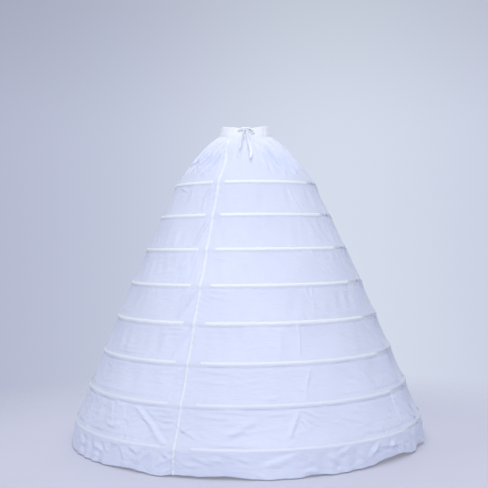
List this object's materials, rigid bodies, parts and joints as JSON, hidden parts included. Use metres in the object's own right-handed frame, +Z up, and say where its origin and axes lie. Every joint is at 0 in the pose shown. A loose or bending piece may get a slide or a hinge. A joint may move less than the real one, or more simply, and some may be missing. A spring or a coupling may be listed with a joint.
{
  "type": "crinoline cage",
  "caption": "Bell-shaped hooped petticoat of white cloth gores over flat steel hoops in stitched tapes, with a gathered neck, drawstring waistband and flounce.",
  "frame": {"origin": "on the floor under the waist axis, at the middle of the hem, which rests on Z = 0", "axes": "+Z up along the waist axis, +Y towards the wearer's front, +X towards the wearer's right; the bow ties at -Y"},
  "size_m": [1.2416, 1.238, 1.1012],
  "materials": {
    "skirt_cloth": "thin plain-woven polyester taffeta, slightly sheer",
    "casing_tape": "folded tape of the same cloth, stitched along both edges",
    "band_cloth": "the same cloth in several layers",
    "drawstring_tape": "narrow woven tape",
    "hoop_steel": "flat spring steel in a white plastic coat",
    "connector_metal": "crimped nickel-plated steel"
  },
  "bodies": {
    "root": {"waistband": "band_cloth", "drawstring": "drawstring_tape", "drawstring_tail_left": "drawstring_tape", "drawstring_tail_right": "drawstring_tape", "gore_back": "skirt_cloth", "gore_right": "skirt_cloth", "gore_front": "skirt_cloth", "gore_left": "skirt_cloth", "hoop_1": "hoop_steel", "hoop_connector_1": "connector_metal", "casing_1": "casing_tape", "hoop_2": "hoop_steel", "hoop_connector_2": "connector_metal", "casing_2": "casing_tape", "hoop_3": "hoop_steel", "hoop_connector_3": "connector_metal", "casing_3": "casing_tape", "hoop_4": "hoop_steel", "hoop_connector_4": "connector_metal", "casing_4": "casing_tape", "hoop_5": "hoop_steel", "hoop_connector_5": "connector_metal", "casing_5": "casing_tape", "hoop_6": "hoop_steel", "hoop_connector_6": "connector_metal", "casing_6": "casing_tape", "hoop_7": "hoop_steel", "hoop_connector_7": "connector_metal", "casing_7": "casing_tape", "hoop_8": "hoop_steel", "hoop_connector_8": "connector_metal", "casing_8": "casing_tape"}
  },
  "joints": []
}
